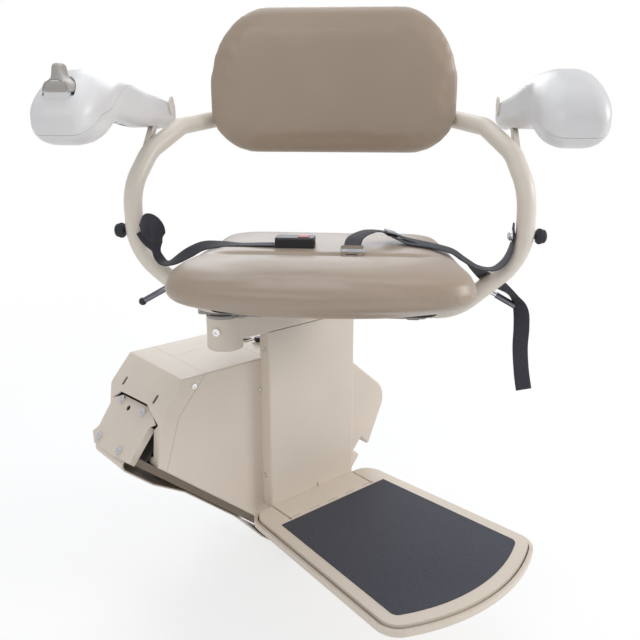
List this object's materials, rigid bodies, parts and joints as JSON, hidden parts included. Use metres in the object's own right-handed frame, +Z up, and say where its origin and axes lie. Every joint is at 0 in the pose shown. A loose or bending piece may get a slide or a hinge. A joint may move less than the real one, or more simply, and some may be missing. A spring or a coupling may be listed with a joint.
{
  "type": "stairlift chair",
  "caption": "Seat carriage for a straight stair rail: padded swivel seat with lap belt, lifting armrests, folding footrest and boxed drive with end sensors.",
  "frame": {"origin": "on the centreline of the rail, at the middle of the carriage's length", "axes": "+Z up, +X towards the foot of the stairs (horizontal), +Y towards the wall; the rail falls 41 degrees towards +X"},
  "size_m": [0.7302, 0.7952, 1.0293],
  "materials": {
    "housing_cream": "satin powder coat",
    "tray_brown": "satin",
    "plate_grey": "satin",
    "chassis_steel": "matt",
    "tube_cream": "satin powder coat",
    "arm_shell": "fine grain",
    "paddle_grey": "satin",
    "vinyl": "padded vinyl",
    "board": "matt",
    "mat_rubber": "speckled",
    "webbing": "woven",
    "black_plastic": "satin",
    "button_red": "satin",
    "anchor_black": "ribbed knob with chrome bolt",
    "chrome": "polished",
    "bright_steel": "zinc plated",
    "roller_poly": "polyurethane",
    "motor_black": "satin",
    "battery_case": "matt",
    "board_green": "lacquer"
  },
  "bodies": {
    "carriage": {"chassis_plate": "chassis_steel", "base_tray": "tray_brown", "front_housing": "housing_cream", "rear_top_panel": "housing_cream", "upper_end_cover": "housing_cream", "lower_end_cover": "housing_cream", "sensor_brackets": "chassis_steel", "sensor_bolts": "bright_steel", "cover_screws": "bright_steel", "drive_motor": "motor_black", "gearbox": "bright_steel", "battery_pack": "battery_case", "control_board": "board_green", "safety_gear": "bright_steel", "roller_axles": "bright_steel", "switch_block": "black_plastic", "column_cover": "housing_cream", "support_column": "chassis_steel", "seat_arm": "housing_cream", "index_plate": "bright_steel", "footrest_bracket": "housing_cream"},
    "swivel_frame": {"swivel_post": "bright_steel", "seat_base": "tube_cream", "left_side_tube": "tube_cream", "right_side_tube": "tube_cream", "back_tube": "tube_cream", "arm_brackets": "tube_cream", "backrest_bracket": "chassis_steel", "backrest_board": "board", "backrest_cushion": "vinyl", "belt_anchors": "anchor_black"},
    "flip_seat": {"seat_board": "board", "seat_cushion": "vinyl", "buckle_strap": "webbing", "tongue_strap": "webbing", "belt_buckle": "black_plastic", "latch_tongue": "chrome"},
    "buckle_press": {"buckle_button": "button_red"},
    "upper_sensor": {"upper_sensor_plate": "plate_grey"},
    "lower_sensor": {"lower_sensor_plate": "plate_grey"},
    "bottom_sensor": {"bottom_pan": "plate_grey"},
    "rocker": {"power_switch": "black_plastic"},
    "breaker": {"breaker_button": "button_red"},
    "top_roller_uphill": {"upper_top_roller": "roller_poly"},
    "bottom_roller_uphill": {"upper_bottom_roller": "roller_poly"},
    "top_roller_downhill": {"lower_top_roller": "roller_poly"},
    "bottom_roller_downhill": {"lower_bottom_roller": "roller_poly"},
    "pinion": {"drive_pinion": "bright_steel"},
    "footrest": {"footrest_plate": "housing_cream", "footrest_mat": "mat_rubber", "footrest_pin": "bright_steel"},
    "safety_pan": {"footrest_pan": "housing_cream"},
    "left_arm": {"left_armrest": "arm_shell", "left_arm_underside": "arm_shell"},
    "right_arm": {"right_armrest": "arm_shell", "right_arm_underside": "arm_shell"},
    "paddle": {"toggle_paddle": "paddle_grey"},
    "left_swivel_lever": {"left_lever": "chrome"},
    "right_swivel_lever": {"right_lever": "chrome"},
    "latch": {"swivel_latch": "bright_steel"}
  },
  "joints": [
    {"name": "seat_swivel", "type": "hinge", "parent": "carriage", "child": "swivel_frame", "pos_m": [-0.026, -0.208, 0.345], "axis": [0, 0, 1], "range_deg": [-45, 45]},
    {"name": "seat_flip", "type": "hinge", "parent": "swivel_frame", "child": "flip_seat", "pos_m": [0.15007, -0.27659, 0.378], "axis": [-0.7071, 0.7071, 0], "range_deg": [0, 58], "deforming": ["buckle_strap", "tongue_strap"]},
    {"name": "left_arm_lift", "type": "hinge", "parent": "swivel_frame", "child": "left_arm", "pos_m": [-0.05216, -0.07577, 0.677], "axis": [-0.7071, 0.7071, 0], "range_deg": [0, 90]},
    {"name": "right_arm_lift", "type": "hinge", "parent": "swivel_frame", "child": "right_arm", "pos_m": [0.35089, -0.47882, 0.677], "axis": [-0.7071, 0.7071, 0], "range_deg": [0, 90]},
    {"name": "paddle_tilt", "type": "hinge", "parent": "left_arm", "child": "paddle", "pos_m": [-0.30601, -0.29992, 0.7], "axis": [0.7071, 0.7071, 0], "range_deg": [-13, 13], "stiffness_Nm_per_rad": 0.4},
    {"name": "left_lever_push", "type": "hinge", "parent": "swivel_frame", "child": "left_swivel_lever", "pos_m": [-0.04863, -0.17123, 0.379], "axis": [-0.7071, -0.7071, 0], "range_deg": [0, 10], "stiffness_Nm_per_rad": 4},
    {"name": "right_lever_push", "type": "hinge", "parent": "swivel_frame", "child": "right_swivel_lever", "pos_m": [0.25543, -0.47529, 0.379], "axis": [0.7071, 0.7071, 0], "range_deg": [0, 10]},
    {"name": "latch_slide", "type": "slide", "parent": "swivel_frame", "child": "latch", "axis": [0.7071, -0.7071, 0], "range_m": [0, 0.006]},
    {"name": "footrest_fold", "type": "hinge", "parent": "carriage", "child": "footrest", "pos_m": [0.144, -0.291, -0.0335], "axis": [-1, 0, 0], "range_deg": [0, 88]},
    {"name": "safety_pan_lift", "type": "slide", "parent": "footrest", "child": "safety_pan", "axis": [0, 0, 1], "range_m": [0, 0.0035], "stiffness_N_per_m": 2000},
    {"name": "upper_sensor_press", "type": "slide", "parent": "carriage", "child": "upper_sensor", "axis": [0.7547, 0, -0.6561], "range_m": [0, 0.004], "stiffness_N_per_m": 1500},
    {"name": "lower_sensor_press", "type": "slide", "parent": "carriage", "child": "lower_sensor", "axis": [-0.7547, 0, 0.6561], "range_m": [0, 0.004], "stiffness_N_per_m": 1500},
    {"name": "bottom_pan_press", "type": "slide", "parent": "carriage", "child": "bottom_sensor", "axis": [0.6561, 0, 0.7547], "range_m": [0, 0.004], "stiffness_N_per_m": 2500},
    {"name": "rocker_tilt", "type": "hinge", "parent": "carriage", "child": "rocker", "pos_m": [0.086, -0.11, 0.247], "axis": [0, 1, 0], "range_deg": [-8, 8]},
    {"name": "breaker_press", "type": "slide", "parent": "carriage", "child": "breaker", "axis": [0, 0, -1], "range_m": [0, 0.003], "stiffness_N_per_m": 800},
    {"name": "upper_top_roll", "type": "hinge", "parent": "carriage", "child": "top_roller_uphill", "pos_m": [-0.06859, 0, 0.11925], "axis": [0, 1, 0], "range_deg": [-192, 192]},
    {"name": "upper_bottom_roll", "type": "hinge", "parent": "carriage", "child": "bottom_roller_uphill", "pos_m": [-0.12763, 0, 0.05133], "axis": [0, 1, 0], "range_deg": [-192, 192]},
    {"name": "lower_top_roll", "type": "hinge", "parent": "carriage", "child": "top_roller_downhill", "pos_m": [0.12763, 0, -0.05133], "axis": [0, 1, 0], "range_deg": [-192, 192]},
    {"name": "lower_bottom_roll", "type": "hinge", "parent": "carriage", "child": "bottom_roller_downhill", "pos_m": [0.06859, 0, -0.11925], "axis": [0, 1, 0], "range_deg": [-192, 192]},
    {"name": "pinion_spin", "type": "hinge", "parent": "carriage", "child": "pinion", "pos_m": [0.03018, 0, 0.03472], "axis": [0, 1, 0], "range_deg": [-180, 180]},
    {"name": "button_press", "type": "slide", "parent": "flip_seat", "child": "buckle_press", "axis": [0, 0, -1], "range_m": [0, 0.002], "stiffness_N_per_m": 600}
  ],
  "couplings": [
    {"joint": "upper_top_roll", "follows": "pinion_spin", "ratio": 1.0667},
    {"joint": "lower_top_roll", "follows": "pinion_spin", "ratio": 1.0667},
    {"joint": "upper_bottom_roll", "follows": "pinion_spin", "ratio": -1.0667},
    {"joint": "lower_bottom_roll", "follows": "pinion_spin", "ratio": -1.0667},
    {"joint": "right_lever_push", "follows": "left_lever_push", "ratio": 1},
    {"joint": "latch_slide", "follows": "left_lever_push", "m_per_rad": 0.034377}
  ]
}
